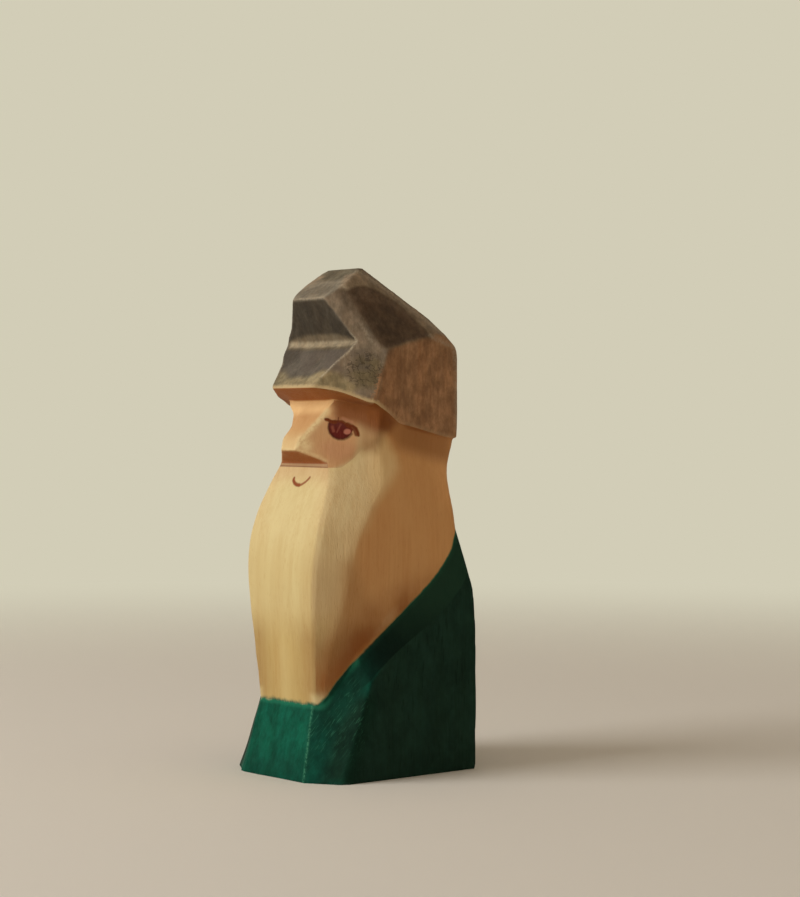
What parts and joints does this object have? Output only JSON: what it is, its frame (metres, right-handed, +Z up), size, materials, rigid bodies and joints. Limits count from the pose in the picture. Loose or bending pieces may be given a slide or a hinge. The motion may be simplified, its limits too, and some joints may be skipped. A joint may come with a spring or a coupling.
{
  "type": "wooden gnome figure",
  "caption": "Small free-standing gnome whittled from a square wooden blank, with a flat base, a green coat, a long bare beard, a big nose and a grey hat with a notched front",
  "frame": {"origin": "centre of the flat base, on the surface the figure stands on", "axes": "+Z up, +X to the figure's own left, -Y the way the face looks"},
  "size_m": [0.027, 0.0288, 0.075],
  "materials": {
    "green_stained_maple": "satin",
    "bare_maple": "satin",
    "skin_washed_maple": "satin",
    "grey_stained_maple": "satin"
  },
  "bodies": {
    "root": {"coat": "green_stained_maple", "beard": "bare_maple", "face": "skin_washed_maple", "hat": "grey_stained_maple"}
  },
  "joints": []
}
